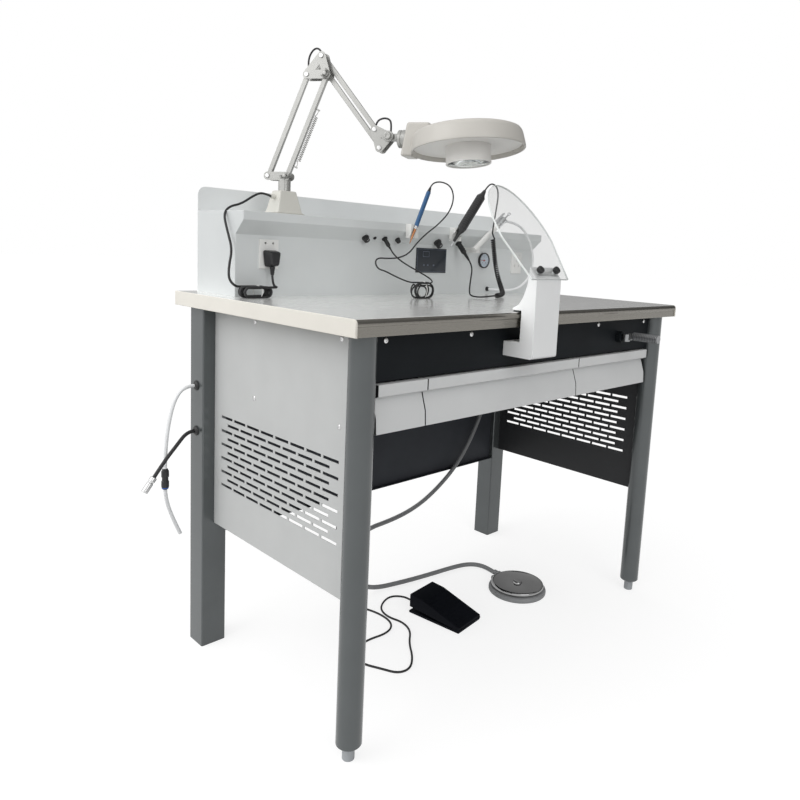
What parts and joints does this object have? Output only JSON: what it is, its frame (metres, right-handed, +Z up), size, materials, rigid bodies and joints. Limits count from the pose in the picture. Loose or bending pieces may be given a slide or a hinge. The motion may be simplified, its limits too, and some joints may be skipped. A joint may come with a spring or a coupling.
{
  "type": "lab_bench",
  "caption": "Dental technician's bench: steel worktop, drawers, rear console with tools, jointed ring-lens lamp, suction post with clear shield, foot controls.",
  "frame": {"origin": "centre of the bench's footprint on the floor, measured without its cords", "axes": "+X to the user's right, +Y away from the user, +Z up"},
  "size_m": [1.211, 0.689, 1.3338],
  "materials": {
    "leg_paint": "satin",
    "panel_paint": "satin",
    "dark_panel": "satin",
    "white_paint": "satin",
    "ivory_laminate": "satin",
    "stainless": "brushed",
    "frame_steel": "satin",
    "fastener": "polished",
    "foot_plastic": "matte",
    "white_plastic": "gloss",
    "black_plastic": "matte",
    "needle_red": "satin",
    "pen_blue": "gloss",
    "bright_metal": "polished",
    "lamp_metal": "satin",
    "lens_glass": "clear",
    "clear_acrylic": "clear",
    "grey_base": "matte",
    "black_cord": "matte",
    "grey_hose": "matte",
    "white_hose": "satin"
  },
  "bodies": {
    "bench": {"front_legs": "leg_paint", "rear_legs": "leg_paint", "side_panels": "panel_paint", "back_panel": "dark_panel", "apron": "dark_panel", "console_housing": "white_paint", "worktop_board": "ivory_laminate", "worktop_steel": "stainless", "top_frame": "frame_steel", "panel_screws": "fastener", "levelling_feet": "foot_plastic", "socket_plates": "white_plastic", "tool_holders": "white_plastic", "suction_post": "white_plastic", "lamp_base": "white_plastic", "control_panel": "black_plastic", "console_jacks": "black_plastic", "tool_plugs": "black_plastic", "lamp_plug": "black_plastic", "handpiece": "black_plastic", "gauge_case": "black_plastic", "pedal_base": "black_plastic", "post_fittings": "black_plastic", "supply_fittings": "black_plastic", "wax_pen": "pen_blue", "air_gun": "bright_metal", "shield": "clear_acrylic", "foot_control_base": "grey_base", "pen_cord": "black_cord", "pen_hank": "black_cord", "handpiece_cord": "black_cord", "handpiece_curl": "black_cord", "pedal_cord": "black_cord", "mains_cable": "black_cord", "lamp_cord": "black_cord", "lamp_hank": "black_cord", "foot_hose": "grey_hose", "air_gun_hose": "white_hose", "air_supply_tube": "white_hose"},
    "drawer_left": {"drawer_left": "white_paint"},
    "drawer_middle": {"drawer_middle": "white_paint"},
    "drawer_right": {"drawer_right": "white_paint"},
    "dial_knob": {"dial_knob": "black_plastic"},
    "speed_knob": {"speed_knob": "black_plastic"},
    "gauge_needle": {"gauge_needle": "needle_red"},
    "air_gun_lever": {"air_gun_lever": "bright_metal"},
    "lamp_yoke": {"lamp_yoke": "lamp_metal"},
    "lamp_lower_rear": {"lamp_lower_bar_rear": "lamp_metal"},
    "lamp_lower_front": {"lamp_lower_bar_front": "lamp_metal"},
    "lamp_elbow": {"lamp_elbow": "lamp_metal", "lamp_elbow_cable": "black_cord"},
    "lamp_upper_top": {"lamp_upper_bar_top": "lamp_metal"},
    "lamp_upper_bottom": {"lamp_upper_bar_bottom": "lamp_metal"},
    "lamp_wrist": {"lamp_head_bracket": "lamp_metal", "lamp_head_cable": "black_cord"},
    "lamp_head": {"lamp_head": "white_plastic", "lamp_lens": "lens_glass"},
    "pedal_cover": {"pedal_cover": "black_plastic"},
    "foot_control_disc": {"foot_control_disc": "bright_metal"},
    "knee_lever": {"knee_lever": "bright_metal"}
  },
  "joints": [
    {"name": "slide_drawer_left", "type": "slide", "parent": "bench", "child": "drawer_left", "axis": [0, -1, 0], "range_m": [0, 0.28]},
    {"name": "slide_drawer_middle", "type": "slide", "parent": "bench", "child": "drawer_middle", "axis": [0, -1, 0], "range_m": [0, 0.28]},
    {"name": "slide_drawer_right", "type": "slide", "parent": "bench", "child": "drawer_right", "axis": [0, -1, 0], "range_m": [0, 0.28]},
    {"name": "turn_dial_knob", "type": "hinge", "parent": "bench", "child": "dial_knob", "pos_m": [-0.168, 0.16401, 0.93688], "axis": [0, -0.6832, -0.7303], "range_deg": [-140, 140]},
    {"name": "turn_speed_knob", "type": "hinge", "parent": "bench", "child": "speed_knob", "pos_m": [0.076, 0.16401, 0.93688], "axis": [0, -0.6832, -0.7303], "range_deg": [-140, 140]},
    {"name": "swing_needle", "type": "hinge", "parent": "bench", "child": "gauge_needle", "pos_m": [0.2745, 0.1685, 0.893], "axis": [0, 1, 0], "range_deg": [-40, 220]},
    {"name": "press_gun_lever", "type": "hinge", "parent": "bench", "child": "air_gun_lever", "pos_m": [0.28303, 0.1235, 1.01476], "axis": [0, -1, 0], "range_deg": [0, 4.5], "stiffness_Nm_per_rad": 0.6},
    {"name": "lamp_swivel", "type": "hinge", "parent": "bench", "child": "lamp_yoke", "pos_m": [-0.345, 0.2385, 1.035], "axis": [0, 0, -1], "range_deg": [-30, 150]},
    {"name": "lamp_lower_arm", "type": "hinge", "parent": "lamp_yoke", "child": "lamp_lower_front", "pos_m": [-0.3405, 0.23071, 1.061], "axis": [0.866, 0.5, 0], "range_deg": [-20, 11]},
    {"name": "lamp_lower_arm_rear", "type": "hinge", "parent": "lamp_yoke", "child": "lamp_lower_rear", "pos_m": [-0.363, 0.26968, 1.061], "axis": [0.866, 0.5, 0], "range_deg": [-20, 11]},
    {"name": "lamp_elbow_level", "type": "hinge", "parent": "lamp_lower_front", "child": "lamp_elbow", "pos_m": [-0.29592, 0.15349, 1.27626], "axis": [0.866, 0.5, 0], "range_deg": [-11, 20]},
    {"name": "lamp_upper_arm", "type": "hinge", "parent": "lamp_elbow", "child": "lamp_upper_bottom", "pos_m": [-0.29592, 0.15349, 1.27626], "axis": [0.866, 0.5, 0], "range_deg": [-25, 5]},
    {"name": "lamp_upper_arm_top", "type": "hinge", "parent": "lamp_elbow", "child": "lamp_upper_top", "pos_m": [-0.30192, 0.16388, 1.31426], "axis": [0.866, 0.5, 0], "range_deg": [-25, 5]},
    {"name": "lamp_wrist_level", "type": "hinge", "parent": "lamp_upper_bottom", "child": "lamp_wrist", "pos_m": [-0.23295, 0.04442, 1.12348], "axis": [0.866, 0.5, 0], "range_deg": [-5, 25]},
    {"name": "lamp_head_tilt", "type": "hinge", "parent": "lamp_wrist", "child": "lamp_head", "pos_m": [-0.22295, 0.0271, 1.14748], "axis": [0.866, 0.5, 0], "range_deg": [-5, 12]},
    {"name": "press_pedal", "type": "hinge", "parent": "bench", "child": "pedal_cover", "pos_m": [0.00298, -0.08285, 0.0063], "axis": [-0.9914, -0.1305, 0], "range_deg": [0, 3.2], "stiffness_Nm_per_rad": 60, "springref_deg": -114.59},
    {"name": "press_foot_disc", "type": "slide", "parent": "bench", "child": "foot_control_disc", "axis": [0, 0, -1], "range_m": [0, 0.004], "stiffness_N_per_m": 2500, "springref_m": -0.003},
    {"name": "push_knee_lever", "type": "hinge", "parent": "bench", "child": "knee_lever", "pos_m": [0.325, -0.2618, 0.723], "axis": [0, 0, 1], "range_deg": [-15, 15], "stiffness_Nm_per_rad": 3}
  ],
  "couplings": [
    {"joint": "lamp_lower_arm_rear", "follows": "lamp_lower_arm", "ratio": 1},
    {"joint": "lamp_elbow_level", "follows": "lamp_lower_arm", "ratio": -1},
    {"joint": "lamp_upper_arm_top", "follows": "lamp_upper_arm", "ratio": 1},
    {"joint": "lamp_wrist_level", "follows": "lamp_upper_arm", "ratio": -1}
  ]
}
